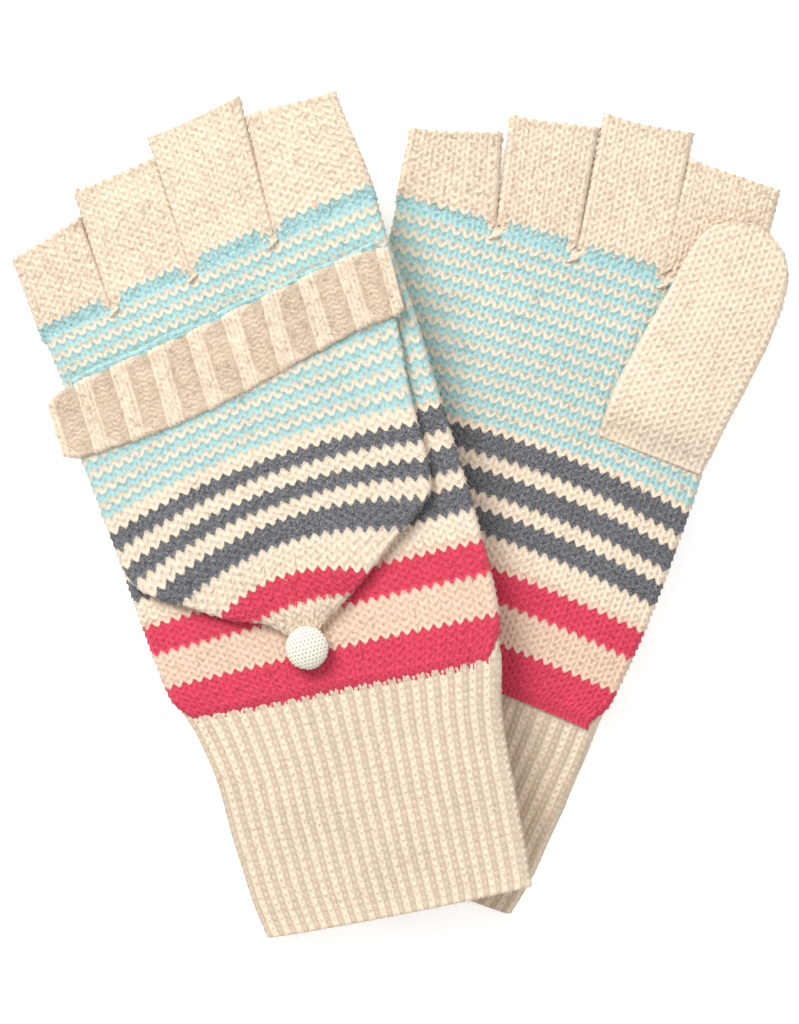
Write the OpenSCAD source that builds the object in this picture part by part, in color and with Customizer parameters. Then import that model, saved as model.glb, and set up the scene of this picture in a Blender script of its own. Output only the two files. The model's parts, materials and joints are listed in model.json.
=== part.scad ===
// Pair of fingerless knitted gloves with fold-back mitten caps, laid crossed at the wrists.
// The left glove lies back up on top. The right glove lies palm up underneath.
// Each glove is drawn in its own frame: origin at the middle of the hem, +Y to the fingertips,
// +X to the thumb side, +Z out of the back of the hand. Units are millimetres.

/* [Hand] */
// Width of the hand across the knuckles
hand_w = 96.5; // [88:0.5:104]
// Width at the wrist, where the ribbed cuff starts
wrist_w = 84.5; // [76:0.5:88]
// Length from the wrist to the middle of the finger bases
hand_len = 117; // [108:1:130]
// Thickness of the hand lying flat, both layers and the slit between them
hand_t = 4.4; // [3.8:0.1:5.2]
// Thickness of one layer of knitted fabric
wall = 1.2; // [0.9:0.05:1.4]
// Slope of the line of finger bases across the hand, in degrees
knuckle_tilt = 6.5; // [4:0.5:8]

/* [Cuff] */
// Length of the ribbed cuff
cuff_len = 61; // [50:1:72]
// Width of the cuff at the hem
hem_w = 72; // [64:0.5:78]
// Ribs across one face of the cuff
cuff_ribs = 20; // [14:1:24]
// Depth of the grooves between the ribs
rib_depth = 0.4; // [0.2:0.05:0.5]
// Downward slope of the lower glove's cuff, in degrees
right_cuff_drop = 7.3; // [5:0.1:7.5]

/* [Fingers] */
// Widths of the open finger tubes, little finger first
finger_w = [20, 22.5, 23, 24.5];
// Lengths of the finger tubes above the finger bases
finger_len = [24, 31, 37, 31];
// Centres of the finger bases across the hand
finger_x = [-35.8, -12.6, 11.4, 36.6];
// Lean of each finger towards the thumb, in degrees
finger_lean = [-7, -5, -2, -1];
// Thickness of a finger tube lying flat
finger_t = 4.0; // [3.4:0.1:4.8]
// Radius of the stitch that closes each fork between two fingers
stitch_r = 0.6; // [0.4:0.05:0.7]

/* [Thumb] */
// Width of the closed thumb
thumb_w = 30.5; // [26:0.5:32]
// Straight length of the thumb below its round end
thumb_len = 50; // [42:1:54]
// Thickness of the thumb lying flat
thumb_t = 4.0; // [3.4:0.1:4.8]
// Lean of the lower glove's thumb away from the hand, in degrees
thumb_lean = 10; // [4:1:14]
// How far the upper glove's thumb is tucked in under its palm, in degrees
thumb_tuck = 25; // [20:1:30]

/* [Cap] */
// Width of the folded cap
cap_w = 91; // [84:0.5:93]
// Length of the cap from its seam to its blunt end
cap_len = 84.5; // [80:0.5:85]
// Height of the curved end of the cap
cap_curve = 45; // [38:1:50]
// Distance from the finger bases back to the seam of the cap
seam_back = 13; // [11:0.5:16]
// Thickness of one layer of the cap
cap_wall = 1.1; // [0.9:0.05:1.3]
// Slit between the two layers of the cap
cap_slit = 1.1; // [0.9:0.05:1.4]
// Width of the ribbed band across the mouth of the cap
band_w = 97; // [90:0.5:100]
// Depth of the ribbed band
band_d = 18; // [14:0.5:21]
// Thickness of the ribbed band
band_t = 2.0; // [1.6:0.1:2.4]
// Number of sunken panels along the band
band_panels = 9; // [6:1:11]

/* [Button] */
// Diameter of the covered button
button_d = 12.3; // [10:0.1:13]
// Height of the button's head
button_h = 4.6; // [4:0.1:5.4]
// Thickness of the knitted skin over the button
skin = 1.0; // [0.7:0.05:1.2]
// Radius of the thread shank
shank_r = 1.1; // [0.8:0.05:1.3]
// Thickness of the loop's cord
loop_d = 1.2; // [0.9:0.05:1.4]

/* [Fits] */
// Gap between layers that lie on each other and move
lay_gap = 0.25; // [0.2:0.05:0.4]
// Gap between the button's socket and its shank, all round
turn_gap = 0.3; // [0.2:0.05:0.4]
// Gap between the end of the cap and the button's rim
tip_gap = 0.45; // [0.3:0.05:0.8]

/* [Pose] */
// Turn of each glove about the vertical, in degrees
splay = 17; // [14:0.5:19]

/* [Hidden] */
$fn = 48;
eps = 0.5;
far = 400;
half = hand_t / 2;
hand_x = 2.5;
wrist_x = 2.75;
wrist_y = cuff_len;
knuckle_y = wrist_y + hand_len;
seam_y = knuckle_y - seam_back;
cap_z = half + lay_gap;
band_z = cap_z + cap_wall + cap_slit;
pack_t = cap_wall + cap_slit + band_t;
seam_z = cap_z + pack_t / 2;
bead_r = 0.8;
fin_t = 1.2;
edge_gap = 1.0;
cap_t = 2 * cap_wall + cap_slit;
cap_tip_y = seam_y - cap_len;
button_x = -1.5;
button_y = cap_tip_y - tip_gap - button_d / 2;
loop_z = half + lay_gap + loop_d / 2;
head_z = half + lay_gap + loop_d + 0.35;
head_top = head_z + button_h;
rim_h = button_h * 0.35;
cap_h = button_h - rim_h;
dome_r = (button_d * button_d / 4 + cap_h * cap_h) / (2 * cap_h);
plate_t = 0.8;
thumb_x = 36;
thumb_y = wrist_y + 65;
thumb_z = -half - lay_gap - thumb_t / 2;
colour_cream = [0.96, 0.88, 0.77];
colour_aqua = [0.60, 0.84, 0.86];
colour_ivory = [0.94, 0.93, 0.87];
colour_core = [0.80, 0.78, 0.72];

// Resting place of the lower glove: it stands on its button, its band and its hem.
band_top = cap_z + pack_t;
right_pitch = asin((head_top - band_top) / (seam_y - button_y + 5));
right_lift = head_top / cos(right_pitch) + button_y * tan(right_pitch);
right_x = -4.3;
right_y = -94.1;

// Resting place of the upper glove: little-finger side on the floor, thumb on the lower palm.
under_top = right_lift - 103 * tan(right_pitch) + half;
left_pitch = 0.75;
left_roll = asin((under_top + lay_gap + thumb_t + 0.35) / (0.777 * hand_w));
edge_x = hand_w / 2;
edge_y = knuckle_y + 17;
left_lift = 0.15 + edge_x * sin(left_roll) + cos(left_roll) * (edge_y * sin(left_pitch) + half);
left_x = -1.1;
left_y = -105.3;
shift_x = -0.65;
shift_y = 1.57;

// ---- building blocks ----

// Cross-section of a flattened tube, with round sides
module flat_section(w, t) {
  square([w - t, t], center = true);
  translate([(w - t) / 2, 0]) circle(d = t);
  translate([-(w - t) / 2, 0]) circle(d = t);
}

// Flattened tube along +Y, open at both ends
module flat_tube(w, t, skin_t, from, to) {
  translate([0, to, 0]) rotate([90, 0, 0]) linear_extrude(to - from) difference() {
    flat_section(w, t);
    flat_section(w - 2 * skin_t, t - 2 * skin_t);
  }
}

// One edge of a flattened tube: a C-shaped section swept along the line from (a, y0) to (b, y1).
// side is 1 for the left edge and -1 for the right one, and the section reaches inwards.
module edge_shell(a, b, y0, y1, side, t, skin_t) {
  over = 30;
  run = norm([b - a, y1 - y0]);
  inner = t - 2 * skin_t;
  translate([a + side * t / 2, y0, 0]) rotate([0, 0, -atan2(b - a, y1 - y0)])
    translate([0, run + over, 0]) rotate([90, 0, 0]) linear_extrude(run + 2 * over) difference() {
      union() {
        circle(d = t);
        translate([side > 0 ? 0 : -far / 4, -t / 2]) square([far / 4, t]);
      }
      circle(d = inner);
      translate([side > 0 ? 0 : -far / 4 - 1, -inner / 2]) square([far / 4 + 1, inner]);
    }
}

// Flattened tube with straight tapering sides, longer than needed at both ends.
// a and b are its left and right edges at y0 and y1.
module flat_bag(a, b, y0, y1, t, skin_t) {
  middle = (a[0] + b[0]) / 2;
  intersection() {
    edge_shell(a[0], a[1], y0, y1, 1, t, skin_t);
    translate([middle - far / 4, -far / 2, -far / 8]) cube([far / 4, far, far / 4]);
  }
  intersection() {
    edge_shell(b[0], b[1], y0, y1, -1, t, skin_t);
    translate([middle, -far / 2, -far / 8]) cube([far / 4, far, far / 4]);
  }
}

// Everything further out than a line parallel to the finger bases
module beyond(y) {
  translate([hand_x, y, 0]) rotate([0, 0, knuckle_tilt]) translate([-far / 2, 0, -far / 2]) cube(far);
}

// Everything nearer the hem than a line parallel to the finger bases
module before(y) {
  translate([hand_x, y, 0]) rotate([0, 0, knuckle_tilt]) translate([-far / 2, -far, -far / 2]) cube(far);
}

// ---- parts of one glove, in the glove's frame ----

module hand() {
  a = [wrist_x - wrist_w / 2 - 0.5, hand_x - hand_w / 2];
  b = [wrist_x + wrist_w / 2 + 1.5, hand_x + hand_w / 2];
  color(colour_aqua) difference() {
    flat_bag(a, b, wrist_y, knuckle_y + 10, hand_t, wall);
    beyond(knuckle_y);
    translate([-far / 2, wrist_y - far, -far / 2]) cube(far);
  }
}

// Turns the cuff about the wrist, out of the hand's plane towards the back of the hand
module cuff_tilt(drop) {
  translate([0, wrist_y, 0]) rotate([-drop, 0, 0]) translate([0, -wrist_y, 0]) children();
}

module cuff(drop) {
  a = [-hem_w / 2, wrist_x - wrist_w / 2];
  b = [hem_w / 2, wrist_x + wrist_w / 2];
  pitch = (hem_w - hand_t) / cuff_ribs;
  color(colour_cream) difference() {
    cuff_tilt(drop) flat_bag(a, b, 0, wrist_y, hand_t, wall);
    cuff_tilt(drop) translate([-far / 2, -far, -far / 2]) cube(far);
    translate([-far / 2, wrist_y, -far / 2]) cube(far);
    for (i = [0:cuff_ribs - 1]) {
      for (face = [-half - 1, half - rib_depth]) {
        cuff_tilt(drop) translate([-(hem_w - hand_t) / 2 + (i + 0.3) * pitch, 1.5, face])
          cube([pitch * 0.4, wrist_y - 4, rib_depth + 1]);
      }
    }
  }
}

module finger(i) {
  base_y = knuckle_y + (finger_x[i] - hand_x) * tan(knuckle_tilt);
  color(colour_cream) difference() {
    translate([finger_x[i], base_y, 0]) rotate([0, 0, -finger_lean[i]])
      flat_tube(finger_w[i], finger_t, wall, -8, finger_len[i]);
    before(knuckle_y);
  }
}

// Small stitches that close the forks between neighbouring fingers
module fork_stitches() {
  color(colour_cream) for (i = [0:2]) {
    x = (finger_x[i] + finger_w[i] / 2 + finger_x[i + 1] - finger_w[i + 1] / 2) / 2;
    y = knuckle_y + (x - hand_x) * tan(knuckle_tilt);
    difference() {
      translate([x, y + 0.35, -finger_t / 2]) cylinder(r = stitch_r, h = finger_t);
      before(knuckle_y);
    }
  }
}

// Half of a flat round pill, on the +Y side
module half_pill(w, t) {
  difference() {
    rotate_extrude($fn = 64) {
      translate([0, -t / 2]) square([(w - t) / 2, t]);
      intersection() {
        translate([(w - t) / 2, 0]) circle(d = t);
        translate([0, -t]) square([w, 2 * t]);
      }
    }
    translate([-far / 2, -far, -far / 2]) cube(far);
  }
}

// Closed thumb; turn is its direction, anticlockwise from +Y
module thumb(turn) {
  color(colour_cream) translate([thumb_x, thumb_y, thumb_z]) rotate([0, 0, turn]) union() {
    flat_tube(thumb_w, thumb_t, wall, 0, thumb_len);
    translate([0, thumb_len, 0]) difference() {
      half_pill(thumb_w, thumb_t);
      half_pill(thumb_w - 2 * wall, thumb_t - 2 * wall);
    }
  }
}

// Half-width of the cap at a distance s from its point, less an inset
function cap_half(s, inset) = cap_w / 2 * (1 - pow(1 - min(s / cap_curve, 1), 2.6)) - inset;

// Middle of the cap at a distance s from its point
function cap_mid(s) = button_x + 0.8 + 4 * min(s / cap_curve, 1);

// Plan of the cap, from a blunt end at distance s0 from its point
module cap_plan(s0, inset) {
  steps = [s0, 6.5, 10, 14, 19, 24, 30, 37, cap_curve, 130];
  ys = cap_tip_y - 2.5;
  n = len(steps);
  polygon(concat(
    [for (i = [0:n - 1]) [cap_mid(steps[i]) + cap_half(steps[i], inset), ys + steps[i]]],
    [for (i = [0:n - 1])
      [cap_mid(steps[n - 1 - i]) - cap_half(steps[n - 1 - i], inset), ys + steps[n - 1 - i]]]
  ));
}

// Cap: two layers joined round the edge, with a slit that opens towards the fingers
module cap() {
  color(colour_aqua) difference() {
    translate([0, 0, cap_z]) linear_extrude(cap_t) cap_plan(2.5, 0);
    translate([0, 0, cap_z + cap_wall]) linear_extrude(cap_slit) cap_plan(5.5, cap_wall);
    beyond(seam_y - edge_gap);
    intersection() {
      beyond(seam_y - (edge_gap + band_d) / cos(knuckle_tilt));
      translate([-far / 2, 0, band_z]) cube(far);
    }
  }
}

// Ribbed band across the mouth of the cap
module cap_band() {
  pitch = (band_w - 8) / band_panels;
  color(colour_cream) translate([hand_x, seam_y, 0]) rotate([0, 0, knuckle_tilt])
    translate([-3 - band_w / 2, -edge_gap - band_d, band_z]) difference() {
      cube([band_w, band_d, band_t]);
      for (i = [0:band_panels - 1]) {
        translate([4 + (i + 0.25) * pitch, 2, band_t - 0.5]) cube([pitch * 0.5, band_d - 4, 1]);
      }
    }
}

// Raised seam on the hand that the cap swings about
module cap_seam() {
  run = hand_w - 7;
  color(colour_aqua) translate([hand_x, seam_y, 0]) rotate([0, 0, knuckle_tilt]) union() {
    translate([-run / 2, -fin_t / 2, half]) cube([run, fin_t, seam_z - half]);
    translate([-run / 2, 0, seam_z]) rotate([0, 90, 0]) cylinder(r = bead_r, h = run);
  }
}

// Cord loop at the end of the cap, round the button's shank
module button_loop() {
  ring_r = shank_r + loop_d / 2 + 0.7;
  reach = cap_tip_y - button_y;
  color(colour_cream) translate([button_x, button_y, loop_z]) union() {
    rotate_extrude($fn = 48) translate([ring_r, 0]) circle(d = loop_d, $fn = 24);
    for (s = [-1, 1]) {
      translate([s * ring_r * 0.6, ring_r * 0.8, 0])
        rotate([-90, 0, 0]) cylinder(d = loop_d, h = reach - ring_r * 0.8, $fn = 24);
    }
  }
}

// Domed head of the button, drawn from its underside up, thinned by an inset
module button_head(inset) {
  r = button_d / 2 - inset;
  z_mid = rim_h - (dome_r - cap_h);
  intersection() {
    cylinder(r = r, h = button_h);
    translate([0, 0, z_mid]) sphere(r = dome_r - inset, $fn = 96);
  }
}

module button_cover() {
  color(colour_ivory) translate([button_x, button_y, head_z]) difference() {
    button_head(0);
    translate([0, 0, -eps]) cylinder(r = button_d / 2 - skin, h = eps + 0.01);
    button_head(skin);
  }
}

module button_core() {
  color(colour_core) translate([button_x, button_y, head_z]) difference() {
    button_head(skin);
    translate([0, 0, -eps]) cylinder(r = button_d, h = plate_t + eps);
  }
}

module button_back() {
  color(colour_ivory) translate([button_x, button_y, head_z]) difference() {
    cylinder(r = button_d / 2 - skin, h = plate_t);
    translate([0, 0, -eps]) cylinder(r = shank_r + turn_gap, h = plate_t + 2 * eps);
  }
}

// Thread shank, sewn to the hand and reaching into the button's socket
module button_shank() {
  color(colour_ivory) translate([button_x, button_y, half])
    cylinder(r = shank_r, h = head_z - half + plate_t - turn_gap);
}

// ---- resting places ----

module place_left() {
  translate([left_x + shift_x, left_y + shift_y, left_lift]) rotate([-left_pitch, -left_roll, splay])
    children();
}

module place_right() {
  translate([right_x + shift_x, right_y + shift_y, right_lift]) rotate([-right_pitch, 0, -splay])
    mirror([0, 0, 1]) children();
}

// ---- nodes ----

module left_cuff() { place_left() cuff(0); }
module left_hand() { place_left() hand(); }
module left_little_finger() { place_left() finger(0); }
module left_ring_finger() { place_left() finger(1); }
module left_middle_finger() { place_left() finger(2); }
module left_index_finger() { place_left() finger(3); }
module left_thumb() { place_left() thumb(thumb_tuck - thumb_lean); }
module left_cap() { place_left() cap(); }
module left_cap_band() { place_left() cap_band(); }
module left_cap_seam() { place_left() cap_seam(); }
module left_button_loop() { place_left() button_loop(); }
module left_button_cover() { place_left() button_cover(); }
module left_button_core() { place_left() button_core(); }
module left_button_back() { place_left() button_back(); }
module left_button_shank() { place_left() button_shank(); }
module left_fork_stitches() { place_left() fork_stitches(); }
module right_cuff() { place_right() cuff(right_cuff_drop); }
module right_hand() { place_right() hand(); }
module right_little_finger() { place_right() finger(0); }
module right_ring_finger() { place_right() finger(1); }
module right_middle_finger() { place_right() finger(2); }
module right_index_finger() { place_right() finger(3); }
module right_thumb() { place_right() thumb(-thumb_lean); }
module right_cap() { place_right() cap(); }
module right_cap_band() { place_right() cap_band(); }
module right_cap_seam() { place_right() cap_seam(); }
module right_button_loop() { place_right() button_loop(); }
module right_button_cover() { place_right() button_cover(); }
module right_button_core() { place_right() button_core(); }
module right_button_back() { place_right() button_back(); }
module right_button_shank() { place_right() button_shank(); }
module right_fork_stitches() { place_right() fork_stitches(); }

left_cuff();
left_hand();
left_little_finger();
left_ring_finger();
left_middle_finger();
left_index_finger();
left_thumb();
left_cap();
left_cap_band();
left_cap_seam();
left_button_loop();
left_button_cover();
left_button_core();
left_button_back();
left_button_shank();
left_fork_stitches();
right_cuff();
right_hand();
right_little_finger();
right_ring_finger();
right_middle_finger();
right_index_finger();
right_thumb();
right_cap();
right_cap_band();
right_cap_seam();
right_button_loop();
right_button_cover();
right_button_core();
right_button_back();
right_button_shank();
right_fork_stitches();
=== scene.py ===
"""Pair of fingerless knitted gloves with fold-back mitten caps, laid crossed at the wrists."""

import json
import math

import bpy
import numpy as np
from bpy.props import FloatProperty, FloatVectorProperty, IntProperty, PointerProperty
from bpy.types import Operator, Panel, PropertyGroup
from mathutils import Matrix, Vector


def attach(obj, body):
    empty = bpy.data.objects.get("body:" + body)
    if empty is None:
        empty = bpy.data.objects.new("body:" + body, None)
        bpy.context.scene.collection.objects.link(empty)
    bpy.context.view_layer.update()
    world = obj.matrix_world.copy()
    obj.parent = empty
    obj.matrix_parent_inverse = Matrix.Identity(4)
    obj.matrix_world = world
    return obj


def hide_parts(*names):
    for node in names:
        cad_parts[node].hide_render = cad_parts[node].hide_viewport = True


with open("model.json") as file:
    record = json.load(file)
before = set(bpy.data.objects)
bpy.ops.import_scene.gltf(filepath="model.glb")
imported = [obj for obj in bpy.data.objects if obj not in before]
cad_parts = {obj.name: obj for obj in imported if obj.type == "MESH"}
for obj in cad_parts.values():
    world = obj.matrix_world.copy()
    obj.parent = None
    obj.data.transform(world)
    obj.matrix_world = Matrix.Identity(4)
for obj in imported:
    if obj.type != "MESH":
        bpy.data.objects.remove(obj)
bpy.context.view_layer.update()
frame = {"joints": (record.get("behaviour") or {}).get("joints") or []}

bl_info = {
    "name": "Fingerless Gloves",
    "version": (1, 0, 0),
    "blender": (4, 5, 0),
    "location": "3D View > Sidebar > Gloves",
    "description": "Knits a pair of fingerless gloves with mitten caps round the packed parts",
    "category": "Object",
}

MM = 0.001

# Fixed places in a glove's own plan, in millimetres: x to the thumb side, y from hem to fingertips.
WRIST_Y = 61.0
SEAM = (2.5, 165.0, 4.55)
KNUCKLE_TILT = math.radians(6.5)
BUTTON = (-1.5, 73.9)
HAND_T = 4.4
FINGER_T = 4.0
CAP_LOW, CAP_T = 2.45, 3.3
BAND_LOW, BAND_T = 4.65, 2.0
THUMB_BASE = (36.0, 126.0, -4.45)
THUMB_T = 4.0
HEAD_LOW = 4.0

# Courses of the hand, counted up from the ribbed cuff: (first course, colour).
HAND_STRIPES = (
    (0, "pink"), (4, "blush"), (9, "pink"), (13, "blush"), (14, "cream"), (17, "grey"), (20, "cream"),
    (22, "grey"), (25, "cream"), (27, "grey"), (30, "cream"),
)
HAND_COURSES, HAND_BANDED_FROM = 57, 31
# Courses of the cap, counted up from its blunt end.
CAP_STRIPES = (
    (0, "cream"), (3, "pink"), (7, "cream"), (11, "grey"), (14, "cream"), (16, "grey"),
    (18, "cream"), (20, "grey"), (22, "cream"),
)
CAP_COURSES, CAP_BANDED_FROM = 45, 24
CAP_TIP = 79.0
CAP_COURSE = 2.05


# ---------------------------------------------------------------- settings


class KnitSettings(PropertyGroup):
    """Sizes of the stitches."""

    wale: FloatProperty(name="Stitch width", description="Width of one knitted stitch",
                        default=3.12 * MM, min=2 * MM, max=5 * MM, precision=5,
                        subtype="DISTANCE", unit="LENGTH")
    course: FloatProperty(name="Stitch height", description="Height of one row of stitches",
                          default=2.09 * MM, min=1 * MM, max=4 * MM, precision=5,
                          subtype="DISTANCE", unit="LENGTH")
    relief: FloatProperty(name="Stitch relief", description="How far the yarn stands out of the fabric",
                          default=0.55 * MM, min=0, max=1 * MM, precision=5,
                          subtype="DISTANCE", unit="LENGTH")
    ribs: IntProperty(name="Cuff ribs", description="Ribs across one face of a cuff",
                      default=21, min=10, max=30)
    panels: IntProperty(name="Band panels", description="Sunken panels along the cap's band",
                        default=9, min=5, max=12)


def colour_property(name, description, default):
    return FloatVectorProperty(name=name, description=description, default=default, size=3,
                               min=0, max=1, subtype="COLOR")


class YarnSettings(PropertyGroup):
    """Colours of the yarns."""

    cream: colour_property("Cream", "Main yarn", (0.88, 0.735, 0.58))
    blush: colour_property("Blush", "Cream tinted by the raspberry yarn beside it", (0.86, 0.63, 0.49))
    mist: colour_property("Mist", "Cream tinted by the aqua yarn beside it", (0.75, 0.70, 0.575))
    aqua: colour_property("Aqua", "Narrow stripes by the fingers", (0.42, 0.65, 0.645))
    grey: colour_property("Grey", "Marled stripes over the palm", (0.165, 0.167, 0.178))
    pink: colour_property("Raspberry", "Two stripes at the wrist", (0.74, 0.062, 0.12))
    ivory: colour_property("Ivory", "Skin of the covered button", (0.87, 0.84, 0.72))
    thread: colour_property("Thread", "Sewing thread and button mould", (0.74, 0.70, 0.60))


def knit():
    return bpy.context.scene.glove_knit


def yarn(name):
    return (*getattr(bpy.context.scene.glove_yarn, name), 1.0)


def stitch_width():
    return knit().wale / MM


def stitch_height():
    return knit().course / MM


def relief():
    return knit().relief / MM


def core(thickness):
    """Thickness of a tube before its stitches are raised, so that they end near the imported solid's face."""
    return thickness - 2 * relief() + 0.4


# ---------------------------------------------------------------- the gloves' own frames


class Glove:
    """One glove's plan laid into the row frame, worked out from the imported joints."""

    def __init__(self, side):
        self.side = side
        self.mirrored = side == "right"
        self.up = -1 if self.mirrored else 1
        joints = {j["name"]: j for j in frame["joints"]}
        flip, turn = joints[f"{side}_cap_flip"], joints[f"{side}_button_turn"]
        hand = -1 if self.mirrored else 1
        self.ez = hand * np.array(turn["axis"], float)
        seam = -hand * np.array(flip["axis"], float)
        across = hand * np.cross(self.ez, seam)
        c, s = math.cos(KNUCKLE_TILT), math.sin(KNUCKLE_TILT)
        self.ex = c * seam - s * across
        self.ey = s * seam + c * across
        pivot = np.array(flip["pos_m"], float)
        self.origin = pivot - (SEAM[0] * self.ex + SEAM[1] * self.ey + SEAM[2] * self.ez) * MM

    def place(self, points):
        """Points in the glove's plan, in millimetres, as points in the row frame."""
        p = np.asarray(points, float) * MM
        return self.origin + p[..., :1] * self.ex + p[..., 1:2] * self.ey + p[..., 2:3] * self.ez

    def body(self, part="glove"):
        return f"{self.side}_{part}"


def gloves():
    return [Glove("left"), Glove("right")]


# ---------------------------------------------------------------- curves and numbers


def along(points, t):
    """Smooth curve through (t, value) points, evaluated at t."""
    xs, ys = np.array(points, float).T
    d = np.diff(ys) / np.diff(xs)
    m = np.concatenate([[d[0]], (d[:-1] + d[1:]) / 2, [d[-1]]])
    flat = np.concatenate([[False], d[:-1] * d[1:] <= 0, [False]])
    m[flat] = 0
    t = np.clip(np.asarray(t, float), xs[0], xs[-1])
    i = np.clip(np.searchsorted(xs, t, side="right") - 1, 0, len(xs) - 2)
    h = xs[i + 1] - xs[i]
    u = (t - xs[i]) / h
    return ((2 * u**3 - 3 * u**2 + 1) * ys[i] + (u**3 - 2 * u**2 + u) * h * m[i]
            + (-2 * u**3 + 3 * u**2) * ys[i + 1] + (u**3 - u**2) * h * m[i + 1])


def wander(seed, *coords):
    """Gentle uneven rise and fall of cloth, from a few waves, between about -1 and 1."""
    draw = np.random.default_rng(seed)
    total = 0
    for k in range(5):
        phase = draw.uniform(0, 2 * math.pi)
        turn = draw.normal(0, 1, len(coords))
        turn *= (0.7 + 0.55 * k) / np.linalg.norm(turn)
        total = total + np.sin(sum(t * c for t, c in zip(turn, coords)) + phase) / (1 + 0.6 * k)
    return total / 2.6


# ---------------------------------------------------------------- stitches as relief

# Rise of a leg of yarn in courses; shares of a rib and of a band's panel that are knit columns.
SLOPE = 0.64
RIB, RIDGE = 0.6, 0.46


def lean(t):
    """How many courses a leg of yarn climbs from the middle of its stitch (t = 0) to the side (t = 1)."""
    return SLOPE * (1 - np.cos(math.pi * t)) / 2


def legs(wale, course):
    """Height of stocking-stitch yarn, 0 in the gaps and 1 on a leg's crown."""
    t = np.abs(2 * (wale - np.floor(wale)) - 1)
    q = course - lean(t)
    f = q - np.floor(q)
    return np.sqrt(np.clip(1 - 0.85 * (2 * f - 1) ** 2 - 0.75 * (2 * t - 1) ** 2, 0, 1))


def climb_legs(wale):
    """Climb of the legs at places across the wales, in courses."""
    return lean(np.abs(2 * (wale - np.floor(wale)) - 1))


def climb_rib(wale):
    """Climb of the legs in a rib's knit column, and of the purl loops beside it."""
    w = wale - np.floor(wale)
    return np.where(w < RIB, climb_legs(np.clip(w / RIB, 0, 0.9999)), SLOPE)


def rib_relief(wale, course):
    """One knit column and one purl valley to each unit of wale."""
    w = wale - np.floor(wale)
    k = np.clip(w / RIB, 0, 0.9999)
    p = np.clip((w - RIB) / (1 - RIB), 0, 1)
    column = (np.sin(math.pi * k) ** 0.35) * (0.32 + 0.68 * legs(k, course))
    bump = np.clip(0.5 + 0.5 * np.cos(2 * math.pi * (course - SLOPE)), 0, 1)
    valley = (0.04 + 0.4 * bump) * np.sin(math.pi * p) ** 0.8
    return np.where(w < RIB, column, valley)


def band_relief(wale, course):
    """A raised pair of knit wales and a broad purl panel to each unit of wale."""
    w = wale - np.floor(wale)
    k = np.clip(w / RIDGE, 0, 0.9999)
    p = np.clip((w - RIDGE) / (1 - RIDGE), 0, 1)
    t = np.abs(4 * k - 1 - 2 * (k > 0.5))
    pair = (np.sin(math.pi * k) ** 0.25) * (0.25 + 1.6 * t * (1 - t) + 0.35 * legs(2 * k, 1.25 * course))
    bump = 0.5 + 0.5 * np.cos(2 * math.pi * 1.5 * course + 1.3 * np.cos(2 * math.pi * 2.5 * p))
    purl = (0.08 + 0.34 * bump) * np.sin(math.pi * p) ** 0.6
    return np.where(w < RIDGE, pair, purl)


def course_rows(first, last):
    """Rows of points that fall in the gap, on both flanks and on the crown of every course."""
    steps = np.array([0.0, 0.2, 0.5, 0.8])
    rows = (np.arange(math.floor(first), math.ceil(last) + 1)[:, None] + steps).ravel()
    rows = rows[(rows > first + 0.05) & (rows < last - 0.05)]
    return np.concatenate([[first], rows, [last]])


def follow_legs(grid, around, rows, pitch, fade_low, fade_high, climb=climb_legs, sign=1):
    """Slides each point along its column so that rows of points run along the legs of the stitches."""
    out, turned = grid.copy(), around.copy()
    course = np.repeat(rows[:, None], grid.shape[1], 1)
    fade = np.clip((rows - rows[0]) / 1.6, 0, 1) if fade_low else np.ones(len(rows))
    fade = fade * (np.clip((rows[-1] - rows) / 1.6, 0, 1) if fade_high else 1)
    for i in range(grid.shape[1]):
        target, here = rows, around[:, i]
        for _ in range(4):
            target = (target + rows + sign * climb(here / pitch) * fade) / 2
            here = np.interp(target, rows, around[:, i])
        target = np.clip(target, rows[0] - 2, rows[-1] + 2)
        low, high = np.clip(rows[0] - target, 0, None), np.clip(target - rows[-1], 0, None)
        for k in range(3):
            end = (grid[-1, i, k] - grid[-3, i, k]) / (rows[-1] - rows[-3])
            start = (grid[2, i, k] - grid[0, i, k]) / (rows[2] - rows[0])
            out[:, i, k] = np.interp(target, rows, grid[:, i, k]) + end * high - start * low
        turned[:, i] = here
        course[:, i] = target
    return out, turned, course


# ---------------------------------------------------------------- meshes


def ring(top, side, under):
    """Stations round a flattened tube: place across (-1 to 1) and angle, from the thumb side's top."""
    bend = np.linspace(90, 270, side + 2)[1:-1]
    across = [np.linspace(1, -1, top + 1), np.full(side, -1.0), np.linspace(-1, 1, under + 1), np.ones(side)]
    angle = [np.full(top + 1, 90.0), bend, np.full(under + 1, 270.0), bend - 180]
    return np.concatenate(across), np.radians(np.concatenate(angle))


def open_rows(rows, per_course, wall, depth):
    """Adds a rim and a lining to courses that end at a mouth: courses, inset and count of outer rows."""
    bend = np.linspace(0, math.pi, 7)[1:-1]
    inside = np.linspace(0, depth, 7)
    end = rows[-1]
    v = np.concatenate([rows, end + np.sin(bend) * wall / 2 / per_course, end - inside / per_course])
    inset = np.concatenate([np.zeros(len(rows)), (1 - np.cos(bend)) * wall / 2, np.full(7, wall)])
    return v, inset, len(rows)


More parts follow.
